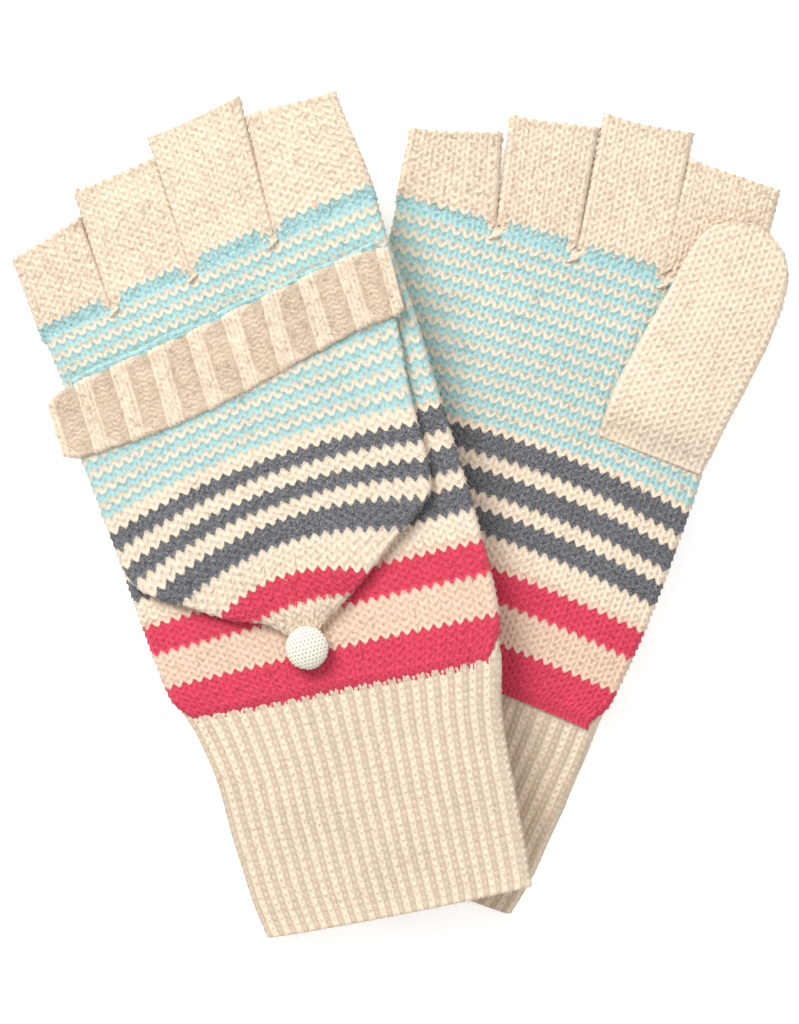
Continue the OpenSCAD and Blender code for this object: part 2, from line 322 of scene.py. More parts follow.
def flat_tube(inset, left, right, thick, height, bow, station, up):
    """Grid of points of a flattened tube, and each point's distance round from the middle of its top."""
    across, angle = station
    left, right = np.asarray(left), np.asarray(right)
    mid, half_row = (left + right) / 2, (right - left) / 2
    half = np.linalg.norm(half_row, axis=1)
    d = half_row / half[:, None]
    n = np.stack([-d[:, 1], d[:, 0]], 1)
    r = np.minimum(thick / 2, half * 0.9) - inset
    r = np.maximum(r, 0.12)
    straight = np.maximum(half - inset - r, 0.01)
    x = straight[:, None] * across + r[:, None] * np.cos(angle)
    z = height[:, None] + up * r[:, None] * np.sin(angle)
    share = np.clip(x / (straight + r)[:, None], -1, 1)
    plan = mid[:, None] + x[..., None] * d[:, None] + (bow[:, None] * (1 - share**2))[..., None] * n[:, None]
    turn = angle - math.pi / 2
    top = np.isclose(angle, math.pi / 2)
    under = np.isclose(angle, 3 * math.pi / 2)
    around = np.where(
        top, -straight[:, None] * across,
        np.where(under, straight[:, None] * (2 + across) + math.pi * r[:, None],
                 np.where(across < 0, 1, -1) * straight[:, None] + r[:, None] * turn))
    return np.concatenate([plan, z[..., None]], 2), around


def grid_normals(p):
    """Unit normals at the points of a grid that closes on itself from side to side."""
    du = np.roll(p, -1, 1) - np.roll(p, 1, 1)
    dv = np.gradient(p, axis=0)
    n = np.cross(du, dv)
    return n / np.maximum(np.linalg.norm(n, axis=2, keepdims=True), 1e-12)


def laid_mesh(name, points, loops, sizes, bake, stitch, marks, material):
    """Mesh from points, corners of faces and sizes of faces, with its two maps and its marks on points."""
    mesh = bpy.data.meshes.new(name)
    mesh.vertices.add(len(points))
    mesh.vertices.foreach_set("co", points.ravel().astype(np.float32))
    mesh.loops.add(len(loops))
    mesh.loops.foreach_set("vertex_index", loops)
    mesh.polygons.add(len(sizes))
    mesh.polygons.foreach_set("loop_start", np.concatenate([[0], np.cumsum(sizes)[:-1]]).astype(np.int32))
    mesh.update(calc_edges=True)
    for key, places in (("OFBake", bake), ("Stitch", stitch)):
        mesh.uv_layers.new(name=key).data.foreach_set("uv", places.ravel().astype(np.float32))
    for key, value in marks.items():
        mesh.attributes.new(key, "FLOAT", "POINT").data.foreach_set("value", value.ravel().astype(np.float32))
    mesh.materials.append(material)
    mesh.shade_smooth()
    obj = bpy.data.objects.new(name, mesh)
    bpy.context.scene.collection.objects.link(obj)
    return obj


def grid_mesh(name, p, wale, course, material, marks, close_first=False, close_last=False):
    """Closed-round grid of points as a mesh, with its stitch coordinates and its bake map."""
    rows, cols = p.shape[:2]
    j, i = np.meshgrid(np.arange(rows - 1), np.arange(cols), indexing="ij")
    k = (i + 1) % cols
    quads = np.stack([j * cols + i, j * cols + k, (j + 1) * cols + k, (j + 1) * cols + i], -1).reshape(-1, 4)
    ends = []
    if close_first:
        ends.append(np.arange(cols)[::-1])
    if close_last:
        ends.append((rows - 1) * cols + np.arange(cols))
    loops = np.concatenate([quads.ravel()] + ends).astype(np.int32)
    sizes = np.concatenate([np.full(len(quads), 4), [cols] * len(ends)]).astype(np.int32)
    u0, u1 = i / cols, (i + 1) / cols
    v0, v1 = j / (rows - 1), (j + 1) / (rows - 1)
    bake = np.stack([np.stack([u0, u1, u1, u0], -1), np.stack([v0, v0, v1, v1], -1)], -1).reshape(-1, 2)
    bake = np.concatenate([bake * 0.98 + 0.01] + [np.full((cols, 2), 0.004) for _ in ends])
    stitch = np.stack([wale.ravel()[loops], course.ravel()[loops]], -1)
    obj = laid_mesh(name, p.reshape(-1, 3), loops, sizes, bake, stitch, marks, material)
    obj.data.validate()
    return obj


def knit_piece(name, glove, grid, around, course, relief, amount, material, pitch=1.0,
               edge=None, close_first=False, close_last=False, outside=None, up=None):
    """Lays a grid into the row frame and raises its stitches; returns the piece and its points for fuzz."""
    wale = around / pitch
    height = relief(wale, course)
    if outside is not None:
        height[outside:] = 0.6
    up = glove.up if up is None else up
    p = glove.place(grid)
    facing = (-1 if glove.mirrored else 1) * (1 if up > 0 else -1)
    n = grid_normals(p) * facing
    p = p + n * (height * amount * MM)[..., None]
    arrays = [p, wale, course, height, n] + ([edge] if edge is not None else [])
    if facing < 0:
        arrays = [a[:, ::-1] for a in arrays]
    # the stitches' height is also the mark that places the painted shade in their gaps
    marks = {"crown": arrays[3]}
    if edge is not None:
        marks["edge"] = arrays[5]
    obj = grid_mesh(name, arrays[0], arrays[1], arrays[2], material, marks, close_first, close_last)
    return obj, (arrays[0][:outside], arrays[4][:outside], arrays[1][:outside], arrays[2][:outside],
                 arrays[5][:outside] if edge is not None else None)


def fuzz_piece(name, cloth, count, seed, body, material, reach=2.2):
    """Loose fibres standing out of a piece of cloth, each a thin tapered bent hair."""
    p, n, wale, course, edge = cloth
    draw = np.random.default_rng(seed)
    j = draw.integers(1, p.shape[0] - 1, count)
    i = draw.integers(0, p.shape[1], count)
    root, out = p[j, i], n[j, i]
    wild = draw.normal(0, 1, (count, 3))
    side = np.cross(out, wild)
    side /= np.linalg.norm(side, axis=1, keepdims=True)
    rise = draw.uniform(0.12, 0.8, (count, 1))
    length = draw.gamma(4, reach / 4, (count, 1)) * MM
    first = out * rise + side * np.sqrt(1 - rise**2)
    turn = np.cross(first, draw.normal(0, 1, (count, 3)))
    turn /= np.linalg.norm(turn, axis=1, keepdims=True)
    middle = root + first * length * 0.55
    tip = middle + (first * 0.75 + turn * 0.66) * length * 0.45
    ring_a = np.cross(first, turn)
    width = draw.uniform(0.04, 0.075, (count, 1)) * MM
    third = 2 * math.pi / 3
    corners = [math.cos(k * third) * turn + math.sin(k * third) * ring_a for k in range(3)]
    base = root - out * 0.15 * MM
    foot, waist = [base + c * width for c in corners], [middle + c * width * 0.8 for c in corners]
    verts = np.stack(foot + waist + [tip], 1)
    # a hair that would pass through the surface under the gloves bends back up from it
    verts[..., 2] = np.abs(verts[..., 2])
    start = (np.arange(count) * 7)[:, None]
    quads = np.concatenate([start + np.array([[k, (k + 1) % 3, 3 + (k + 1) % 3, 3 + k]]) for k in range(3)])
    tris = np.concatenate([start + np.array([[3 + k, 3 + (k + 1) % 3, 6]]) for k in range(3)]
                          + [start + np.array([[2, 1, 0]])])
    loops = np.concatenate([quads.ravel(), tris.ravel()]).astype(np.int32)
    sizes = np.concatenate([np.full(len(quads), 4), np.full(len(tris), 3)])
    hair = loops // 7
    cells = math.ceil(math.sqrt(count))
    spot = np.array([[0.1, 0.1], [0.5, 0.1], [0.9, 0.1], [0.1, 0.5], [0.5, 0.5], [0.9, 0.5], [0.5, 0.9]])
    bake = (np.stack([hair % cells, hair // cells], 1) + spot[loops % 7]) / cells
    stitch = np.stack([wale[j, i][hair], course[j, i][hair]], 1)
    marks = {"crown": np.ones(count * 7)}
    if edge is not None:
        marks["edge"] = np.repeat(edge[j, i], 7)
    obj = laid_mesh(name, verts.reshape(-1, 3), loops, sizes, bake, stitch, marks, material)
    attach(obj, body)


def cord_piece(name, glove, path, radius, material, sides=16, plies=2, lay=1.6):
    """Plied cord along a path in a glove's plan."""
    path = np.asarray(path, float)
    step = np.diff(path, axis=0)
    run = np.concatenate([[0], np.cumsum(np.linalg.norm(step, axis=1))])
    s = np.linspace(0, run[-1], max(24, int(run[-1] / 0.22)))
    c = np.stack([along(np.stack([run, path[:, k]], 1), s) for k in range(3)], 1)
    t = np.gradient(c, axis=0)
    t /= np.linalg.norm(t, axis=1, keepdims=True)
    a = np.zeros_like(t)
    a[0] = np.cross(t[0], [0.3, 0.2, 1])
    for k in range(1, len(t)):
        a[k] = a[k - 1] - t[k] * (a[k - 1] @ t[k])
        a[k] /= np.linalg.norm(a[k])
    a[0] /= np.linalg.norm(a[0])
    b = np.cross(t, a)
    angle = np.linspace(0, 2 * math.pi, sides, endpoint=False)
    twist = angle[None] + (s / lay * math.pi)[:, None]
    ridge = np.abs(np.cos(twist * plies / 2))
    r = radius * (0.72 + 0.28 * ridge)
    end = np.clip(np.minimum(s, s[-1] - s) / radius, 0.02, 1)
    r = r * np.sqrt(1 - (1 - end) ** 2 + 0.01)[:, None]
    cos, sin = np.cos(angle)[None, :, None], np.sin(angle)[None, :, None]
    p = c[:, None] + r[..., None] * (cos * a[:, None] + sin * b[:, None])
    wale = 0.25 + twist / math.pi * 0.02
    course = np.repeat((s / lay)[:, None], sides, 1)
    p = glove.place(p)
    # the plies' ridges, as the crown mark, place the shade painted between the plies
    ridge = np.clip(ridge * 1.3, 0, 1)
    if glove.mirrored:
        p, wale, course, ridge = p[:, ::-1], wale[:, ::-1], course[:, ::-1], ridge[:, ::-1]
    return grid_mesh(name, p, wale, course, material, {"crown": ridge}, True, True)


def lathe_piece(name, glove, centre, profile, material, sides=64, relief=0.0, cell=1.1):
    """Turned piece about a glove's own upright line, with small stitches when relief is above nothing."""
    profile = np.asarray(profile, float)
    angle = np.linspace(0, 2 * math.pi, sides, endpoint=False)
    x = profile[:, :1] * np.cos(angle)
    y = profile[:, :1] * np.sin(angle)
    z = np.repeat(profile[:, 1:2], sides, 1)
    grid = np.stack([centre[0] + x, centre[1] + y, z], 2)
    stretch = 1 + 0.12 * (x**2 + y**2) / np.max(profile[:, 0]) ** 2
    wale, course = x * stretch / cell, y * stretch / cell
    beside, along_it = np.cos(2 * math.pi * wale), np.cos(math.pi * course)
    lattice = np.sign(beside) * np.sqrt(np.abs(beside)) * along_it * np.abs(along_it)
    height = np.clip((lattice + 0.8) / 0.8, 0, 1)
    p = glove.place(grid)
    n = grid_normals(p) * (-1 if glove.mirrored else 1)
    fade = np.clip(profile[:, 0] / 0.4, 0, 1)[:, None]
    p = p + n * (height * relief * fade * MM)[..., None]
    if glove.mirrored:
        p, wale, course, height = p[:, ::-1], wale[:, ::-1], course[:, ::-1], height[:, ::-1]
    # the knit's height places the shade painted between its stitches; a plain piece gets no painted shade
    crown = height if relief else np.ones_like(height)
    return grid_mesh(name, p, wale, course, material, {"crown": crown}, True, True)


def finish_piece(obj, body, slot, *nodes):
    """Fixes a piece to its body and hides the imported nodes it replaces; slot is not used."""
    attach(obj, body)
    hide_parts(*nodes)


# ---------------------------------------------------------------- shader groups


class Nodes:
    """Small helper that adds nodes to a tree and joins them."""

    def __init__(self, tree):
        self.tree = tree

    def add(self, kind, settings=None, **inputs):
        node = self.tree.nodes.new(kind)
        for key, value in (settings or {}).items():
            setattr(node, key, value)
        for key, value in inputs.items():
            self.join(value, node.inputs[int(key[1:]) if key[0] == "i" and key[1:].isdigit() else key])
        return node

    def join(self, value, socket):
        if isinstance(value, bpy.types.NodeSocket):
            self.tree.links.new(value, socket)
        else:
            socket.default_value = value

    def math(self, operation, a, b=0.0, c=0.0):
        return self.add("ShaderNodeMath", {"operation": operation}, i0=a, i1=b, i2=c).outputs[0]

    def mix(self, factor, a, b):
        node = self.tree.nodes.new("ShaderNodeMix")
        node.data_type = "RGBA"
        self.join(factor, node.inputs[0])
        self.join(a, node.inputs[6])
        self.join(b, node.inputs[7])
        return node.outputs[2]


def node_group(name, inputs, outputs):
    """New shader group with its sockets: the group, its helper and its two end nodes."""
    group = bpy.data.node_groups.new(name, "ShaderNodeTree")
    for kind, label, default in inputs:
        socket = group.interface.new_socket(label, in_out="INPUT", socket_type=kind)
        if default is not None:
            socket.default_value = default
    for kind, label in outputs:
        group.interface.new_socket(label, in_out="OUTPUT", socket_type=kind)
    return group, Nodes(group), group.nodes.new("NodeGroupInput"), group.nodes.new("NodeGroupOutput")


def stitch_rows_group():
    """Turns stitch coordinates into the course that a leg of yarn belongs to and the place across the leg."""
    found = bpy.data.node_groups.get("Stitch rows")
    if found:
        return found
    group, n, src, out = node_group(
        "Stitch rows",
        [("NodeSocketVector", "Stitch", None), ("NodeSocketFloat", "Stray", 1.3)],
        [("NodeSocketFloat", "Course"), ("NodeSocketFloat", "Crown"), ("NodeSocketVector", "Strand")],
    )
    xyz = n.add("ShaderNodeSeparateXYZ", None, i0=src.outputs["Stitch"])
    t = n.math("ABSOLUTE", n.math("MULTIPLY_ADD", n.math("FRACT", xyz.outputs[0]), 2.0, -1.0))
    climb = n.math("MULTIPLY_ADD", n.math("COSINE", n.math("MULTIPLY", t, math.pi)), -SLOPE / 2, SLOPE / 2)
    q = n.math("SUBTRACT", xyz.outputs[1], climb)
    stray = n.add("ShaderNodeTexNoise", None, Vector=src.outputs["Stitch"], Scale=8.0, Detail=4.0,
                  Roughness=0.7)
    jitter = n.math("MULTIPLY", n.math("SUBTRACT", stray.outputs[0], 0.5), src.outputs["Stray"])
    n.join(n.math("FLOOR", n.math("ADD", q, jitter)), out.inputs["Course"])
    f = n.math("FRACT", q)
    across = n.math("POWER", n.math("ABSOLUTE", n.math("MULTIPLY_ADD", f, 2.0, -1.0)), 2.0)
    beside = n.math("POWER", n.math("ABSOLUTE", n.math("MULTIPLY_ADD", t, 2.0, -1.0)), 2.0)
    grain = n.math("MULTIPLY_ADD", across, -0.85, n.math("MULTIPLY_ADD", beside, -0.75, 1.0))
    n.join(n.math("SQRT", n.math("MAXIMUM", grain, 0.0)), out.inputs["Crown"])
    strand = n.add("ShaderNodeCombineXYZ", None, X=n.math("MULTIPLY", xyz.outputs[0], 2.2),
                   Y=n.math("MULTIPLY", q, 9.0))
    n.join(strand.outputs[0], out.inputs["Strand"])
    return group


def wool_group():
    """Fibres of a yarn: marled colour, painted shade in the gaps between stitches, roughness and a fine
    height.
    """
    found = bpy.data.node_groups.get("Wool fibres")
    if found:
        return found
    group, n, src, out = node_group(
        "Wool fibres",
        [("NodeSocketColor", "Colour", (0.8, 0.8, 0.8, 1)), ("NodeSocketVector", "Strand", None),
         ("NodeSocketFloat", "Crown", 1.0), ("NodeSocketFloat", "Marl", 0.2),
         ("NodeSocketFloat", "Gap", 0.55)],
        [("NodeSocketColor", "Colour"), ("NodeSocketFloat", "Roughness"), ("NodeSocketFloat", "Height")],
    )
    fibre = n.add("ShaderNodeTexNoise", None, Vector=src.outputs["Strand"], Scale=2.0, Detail=5.0,
                  Roughness=0.65)
    place = n.add("ShaderNodeTexCoord")
    fleck = n.add("ShaderNodeTexNoise", None, Vector=place.outputs["Object"], Scale=1900.0, Detail=4.0,
                  Roughness=0.7)
    cloud = n.add("ShaderNodeTexNoise", None, Vector=place.outputs["Object"], Scale=60.0, Detail=2.0)
    marl = n.math("ADD", n.math("MULTIPLY", fibre.outputs[0], 0.5), n.math("MULTIPLY", fleck.outputs[0], 0.5))
    swing = n.math("MULTIPLY", n.math("SUBTRACT", marl, 0.5), n.math("MULTIPLY", src.outputs["Marl"], 8.0))
    level = n.math("ADD", 1.0, n.math("ADD", swing, n.math(
        "MULTIPLY", n.math("SUBTRACT", cloud.outputs[0], 0.5), 0.16)))
    bright = n.add("ShaderNodeVectorMath", {"operation": "SCALE"}, i0=src.outputs["Colour"], Scale=level)
    # painted shade: a deeper, darker copy of the yarn's colour is mixed in where the stitch's crown falls
    # away into the gaps
    deep = n.add("ShaderNodeGamma", None, Color=bright.outputs[0], Gamma=1.5)
    shaded = n.add("ShaderNodeVectorMath", {"operation": "SCALE"}, i0=deep.outputs[0], Scale=0.6)
    open_gap = n.add("ShaderNodeMapRange", {"interpolation_type": "SMOOTHSTEP"}, Value=src.outputs["Crown"])
    open_gap.inputs["From Min"].default_value = 0.0
    open_gap.inputs["From Max"].default_value = 0.75
    shade = n.math("MULTIPLY", n.math("SUBTRACT", 1.0, open_gap.outputs[0]), src.outputs["Gap"])
    n.join(n.mix(shade, bright.outputs[0], shaded.outputs[0]), out.inputs["Colour"])
    n.join(n.math("MULTIPLY_ADD", fleck.outputs[0], 0.2, 0.78), out.inputs["Roughness"])
    strands, flecks = n.math("MULTIPLY", fibre.outputs[0], 0.6), n.math("MULTIPLY", fleck.outputs[0], 0.5)
    n.join(n.math("ADD", strands, flecks), out.inputs["Height"])
    return group


def stripe_colour(n, course, stripes, courses, banded_from, edge=None):
    """Colour of each course: wide stripes from the cuff or tip, then single courses of aqua and cream."""
    ramp = n.tree.nodes.new("ShaderNodeValToRGB")
    ramp.color_ramp.interpolation = "CONSTANT"
    spots = ramp.color_ramp.elements
    while len(spots) > 1:
        spots.remove(spots[-1])
    spots[0].position, spots[0].color = 0.0, yarn(stripes[0][1])
    for first, name in stripes[1:]:
        spot = spots.new((first - 0.5) / courses)
        spot.color = yarn(name)
    n.join(n.math("DIVIDE", course, float(courses)), ramp.inputs[0])
    since = n.math("SUBTRACT", course, banded_from - 100.0)
    odd = n.math("LESS_THAN", n.math("MODULO", since, 2.0), 0.5)
    odd = n.math("MAXIMUM", odd, n.math("GREATER_THAN", course, courses - 1.5))
    single = n.mix(odd, yarn("mist"), yarn("aqua"))
    colour = n.mix(n.math("GREATER_THAN", course, banded_from - 0.5), ramp.outputs[0], single)
    if edge is not None:
        colour = n.mix(n.math("GREATER_THAN", course, edge), colour, yarn("cream"))
    return colour


def wool_material(name, colour, marl=0.13, gap_shade=0.42, sheen=0.3, rows=None, edged=False, stocking=True):
    """Knitted wool. colour is a yarn's name, or None where rows gives stripes."""
    mat = bpy.data.materials.get(name)
    if mat:
        return mat
    mat = bpy.data.materials.new(name)
    mat.use_nodes = True
    n = Nodes(mat.node_tree)
    bsdf = mat.node_tree.nodes["Principled BSDF"]
    uv = n.add("ShaderNodeUVMap", {"uv_map": "Stitch"})
    lattice = n.add("ShaderNodeGroup", {"node_tree": stitch_rows_group()})
    n.join(uv.outputs[0], lattice.inputs["Stitch"])
    crown = lattice.outputs["Crown"]
    if not stocking:
        crown = n.add("ShaderNodeAttribute", {"attribute_name": "crown"}).outputs["Fac"]
    base, marl_value = yarn(colour) if colour else None, marl
    if rows:
        edge = None
        if edged:
            edge = n.add("ShaderNodeAttribute", {"attribute_name": "edge"}).outputs["Fac"]
        base = stripe_colour(n, lattice.outputs["Course"], *rows, edge=edge)
        level = n.add("ShaderNodeSeparateColor", None, Color=base)
        darkest = n.math("MAXIMUM", level.outputs[0], level.outputs[2])
        heather = n.math("MULTIPLY_ADD", n.math("LESS_THAN", level.outputs[1], 0.3), 0.16, marl)
        marl_value = n.math("MULTIPLY_ADD", n.math("LESS_THAN", darkest, 0.4), 0.8, heather)
    wool = n.add("ShaderNodeGroup", {"node_tree": wool_group()})
    n.join(base, wool.inputs["Colour"])
    n.join(lattice.outputs["Strand"], wool.inputs["Strand"])
    n.join(crown, wool.inputs["Crown"])
    n.join(marl_value, wool.inputs["Marl"])
    # how strongly shade is painted into the gaps between stitches
    n.join(gap_shade, wool.inputs["Gap"])
    n.join(wool.outputs["Colour"], bsdf.inputs["Base Color"])
    n.join(wool.outputs["Roughness"], bsdf.inputs["Roughness"])
    bump = n.add("ShaderNodeBump", None, Height=wool.outputs["Height"], Strength=0.5, Distance=0.00025)
    n.join(bump.outputs[0], bsdf.inputs["Normal"])
    bsdf.inputs["Sheen Weight"].default_value = sheen
    bsdf.inputs["Sheen Roughness"].default_value = 0.5
    bsdf.inputs["Specular IOR Level"].default_value = 0.25
    return mat


def hand_material():
    return wool_material("Striped hand wool", None, edged=True,
                         rows=(HAND_STRIPES, HAND_COURSES, HAND_BANDED_FROM))


def cap_material():
    return wool_material("Striped cap wool", None, rows=(CAP_STRIPES, CAP_COURSES, CAP_BANDED_FROM))


def cream_material():
    return wool_material("Cream wool", "cream")


def rib_material():
    return wool_material("Cream ribbed wool", "cream", gap_shade=0.68, stocking=False)


def cord_material():
    return wool_material("Cream yarn", "cream", gap_shade=0.5, stocking=False)


def braid_material():
    return wool_material("Aqua yarn", "aqua", gap_shade=0.45, stocking=False)


def button_material():
    return wool_material("Ivory button knit", "ivory", marl=0.04, gap_shade=0.85, sheen=0.15, stocking=False)


def mould_material():
    return wool_material("Button mould", "thread", marl=0.03, gap_shade=0.0, sheen=0.0, stocking=False)


# ---------------------------------------------------------------- outlines of the pieces

# Sides of each hand, as (y, x) from the wrist up: the laid-out cloth differs a little between the gloves.
HAND_SIDES = {
    "left": (((55, -40.5), (66, -42), (80, -43.4), (100, -44.4), (130, -45.2), (160, -45.6), (180, -47.6)),
             ((54, 46.2), (70, 49.6), (90, 50.8), (127, 51), (150, 51), (170, 49.8), (190, 50.2))),
    "right": (((58, -41), (85, -45), (110, -46.6), (157, -48.2), (174, -49.4)),
              ((50, 44.4), (64, 46.4), (80, 48.6), (102, 50.2), (124, 51.0), (160, 50.5), (186, 49.8))),
}
# Lines of courses at the wrist and under the fingers: height at the middle and rise to the thumb side.
WRIST_LINE = {"left": (62.9, -0.083), "right": (57.6, -0.05)}
KNUCKLE_LINE = {"left": (180.9, 0.094), "right": (173.8, 0.012)}
FORKS = {"left": (-26.4, -3.0, 20.8), "right": (-21.2, 0.8, 26.0)}
# How far courses sag at the sides of the hand, from wrist to fingers.
HAND_SAG = {"left": ((0, 0.6), (0.5, 1.2), (1, 0.4)), "right": ((0, 1.2), (0.5, 4.6), (0.75, 2.6), (1, 0.5))}

# Fingers: base middle, base width, tip middle, tip width, slope of the tip's edge in degrees.
FINGERS = {
    "left": {
        "little": ((-36.8, 173.5), 21.8, (-38.2, 199.6), 21.9, 14),
        "ring": ((-14.8, 175.5), 24.8, (-15.5, 210.2), 24.4, 5),
        "middle": ((8.9, 178.5), 25.2, (9.4, 218.0), 27.4, 6),
        "index": ((35.4, 180.5), 29.8, (35.2, 213.6), 24.8, -3),
    },
    "right": {
        "little": ((-35.3, 171.0), 28.4, (-39.4, 194.6), 25.2, 12),
        "ring": ((-10.2, 172.5), 23.4, (-14.8, 204.6), 24.8, 7),
        "middle": ((13.4, 172.5), 25.6, (9.6, 211.4), 25.2, 4),
        "index": ((37.2, 174.5), 26.0, (35.5, 205.0), 26.6, -3),
    },
}


def widen(glove, points):
    """The upper glove lies rolled over the lower one, so its cloth is a little wider than its plan."""
    if glove.side == "left":
        points[..., 0] = 2 + (points[..., 0] - 2) * 1.02
    return points


def hand_grid(glove):
    """Tube of a hand: points, distance round, courses, and the course where the stripes end."""
    rows = course_rows(-1.5, HAND_COURSES + 0.8)
    v = rows / HAND_COURSES
    sag = along(HAND_SAG[glove.side], np.clip(v, 0, 1))
    low_side, high_side = HAND_SIDES[glove.side]
    wrist, knuckle = WRIST_LINE[glove.side], KNUCKLE_LINE[glove.side]
    middle = wrist[0] + (knuckle[0] - wrist[0]) * v - sag
    rise = wrist[1] + (knuckle[1] - wrist[1]) * v
    yl, yr = middle - 45 * rise, middle + 48 * rise
    left = np.stack([along(low_side, yl), yl], 1)
    right = np.stack([along(high_side, yr), yr], 1)
    pull = 3.0 * np.exp(-(((v * HAND_COURSES + 1) / 2.2) ** 2))
    left[:, 0] += pull
    right[:, 0] -= pull
    thick = np.full(len(v), core(HAND_T))
    thick -= 1.6 * np.clip((-0.3 - rows) / 0.8, 0, 1) + 1.4 * np.clip((rows - HAND_COURSES + 1.6) / 2, 0, 1)
    wales = int(round(97 / stitch_width()))
    station = ring(wales * 8, 8, wales * 2)
    level = np.zeros(len(v))
    grid, around = flat_tube(level, left, right, thick, level, sag, station, glove.up)
    width = np.linalg.norm(right - left, axis=1)
    around = around * (wales * stitch_width() / (width - thick))[:, None]
    grid, around, course = follow_legs(grid, around, rows, stitch_width(), True, False)
    grid = widen(glove, grid)
    # the two layers draw together where a fork between two fingers is stitched shut
    end = np.clip((course - HAND_COURSES + 3.5) / 4.5, 0, 1)
    pinch, dip = np.ones(end.shape), np.zeros(end.shape)
    for x in FORKS[glove.side]:
        pinch -= 0.9 * np.exp(-(((grid[..., 0] - x) / 2.0) ** 2)) * end**2
        dip += np.exp(-(((grid[..., 0] - x) / 2.6) ** 2))
    sides = np.minimum(np.abs(grid[..., 0] + 46), np.abs(grid[..., 0] - 50))
    pillow = 0.45 * (1 - np.exp(-sides / 9)) * np.sign(grid[..., 2])
    # by the fingers the cloth stays flat, so that the folded cap's band has room over it
    full = np.clip((160 - grid[..., 1]) / 8, 0, 1)
    grid[..., 2] = (grid[..., 2] * (0.92 + 0.08 * full) + pillow * full) * np.clip(pinch, 0.1, 1)
    edge = HAND_COURSES - 0.5 - 1.7 * dip
    grid[..., 2] += 0.3 * full * wander(11 + glove.mirrored, grid[..., 0] / 16, grid[..., 1] / 16)
    return grid, around, course, edge


def cuff_grid(glove):
    """Ribbed tube of a cuff, counted in ribs round; the lower glove's cuff slopes down to the surface."""
    drop = math.radians(7.3) if glove.mirrored else 0.0
    per = stitch_height()
    length = WRIST_Y + 4.0
    courses = length / per
    rows, inset, outside = open_rows(course_rows(0, courses), per, 1.4, 14)
    v = 1 - rows / courses
    if glove.side == "left":
        low_side = ((0, -35.6), (10, -36.6), (30, -37.2), (45, -37), (60, -38.6), (68, -40.4))
        high_side = ((-4, 36.4), (10, 38.4), (30, 40.4), (45, 42.6), (54, 45.4), (62, 47.4))
        ends = ((WRIST_Y + 7.0, 2.4), (WRIST_Y - 0.4, -3.6))
    else:
        low_side = ((-2, -35.4), (10, -36.6), (30, -38.4), (45, -39.6), (60, -41))
        high_side = ((-4, 36.4), (5, 38.4), (20, 40.6), (35, 42.2), (45, 43.4), (60, 44.6))
        ends = ((WRIST_Y + 2.0, 1.6), (WRIST_Y - 3.0, -3.4))
    yl, yr = (top * v + bottom * (1 - v) for top, bottom in ends)
    left = np.stack([along(low_side, yl), yl], 1)
    right = np.stack([along(high_side, yr), yr], 1)
    thick = HAND_T - 1.1 + 0.3 * np.sin(math.pi * np.clip(v, 0, 1)) - 1.5 * np.clip((1.6 - rows) / 1.2, 0, 1)
    thick = thick + 0.45 * np.exp(-((v * length / 1.8) ** 2))
    station = ring(knit().ribs * 11, 10, knit().ribs * 5)
    level, bow = np.zeros(len(v)), np.full(len(v), -0.6)
    grid, around = flat_tube(inset, left, right, thick, level, bow, station, glove.up)
    width = np.linalg.norm(right - left, axis=1)
    around = around / (width - thick)[:, None] * knit().ribs + 0.2
    grid = widen(glove, grid)
    grid[..., 2] += 0.3 * wander(21 + glove.mirrored, grid[..., 0] / 14, grid[..., 1] / 14)
    grid[..., 0] += 0.35 * wander(23 + glove.mirrored, grid[..., 1] / 7, grid[..., 1] / 9)
    y, z = grid[..., 1] - WRIST_Y, grid[..., 2].copy()
    fall = np.where(y < 0, drop, 0)
    grid[..., 1] = WRIST_Y + y * np.cos(fall) + z * np.sin(fall)
    grid[..., 2] = -y * np.sin(fall) + z * np.cos(fall)
    lower = follow_legs(grid[:outside], around[:outside], rows[:outside], 1.0, False, True, climb_rib, -1)
    course = -np.concatenate([lower[2], np.repeat(rows[outside:, None], grid.shape[1], 1)])
    grid, around = np.concatenate([lower[0], grid[outside:]]), np.concatenate([lower[1], around[outside:]])
    # rows run from wrist to hem, so the grid is turned round to keep its faces outward
    return grid[:, ::-1], around[:, ::-1], course[:, ::-1], outside


